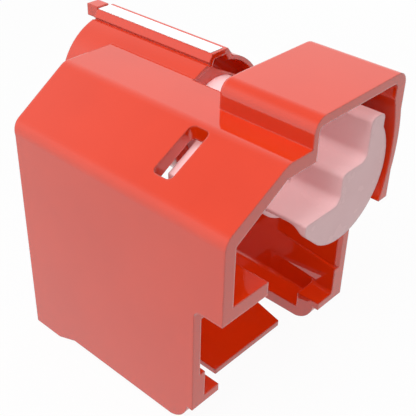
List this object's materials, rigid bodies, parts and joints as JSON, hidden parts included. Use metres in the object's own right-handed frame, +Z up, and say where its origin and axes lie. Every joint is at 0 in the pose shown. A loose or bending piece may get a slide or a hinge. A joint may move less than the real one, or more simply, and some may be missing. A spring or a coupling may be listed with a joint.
{
  "type": "ethernet plug lock",
  "caption": "Red moulded lock that slips over a modular network plug; a white rotor turned by a key from behind blocks the latch.",
  "frame": {"origin": "on the centre line of the plug way, in the plane of the mouth, level with the underside of the foot", "axes": "+Z up, away from the foot; -Y out of the mouth, the way the plug looks; +Y towards the cable; X across the plug"},
  "size_m": [0.0143, 0.0199, 0.0179],
  "materials": {
    "housing_plastic": "smooth satin red moulding",
    "rotor_plastic": "smooth natural white moulding",
    "strip_film": "plain white label film"
  },
  "bodies": {
    "body": {"housing": "housing_plastic", "label_strip": "strip_film"},
    "rotor": {"lock_rotor": "rotor_plastic"}
  },
  "joints": [
    {"name": "rotor_turn", "type": "hinge", "parent": "body", "child": "rotor", "pos_m": [0.00305, 0, 0.0131], "axis": [0, -1, 0], "range_deg": [0, 30]}
  ]
}
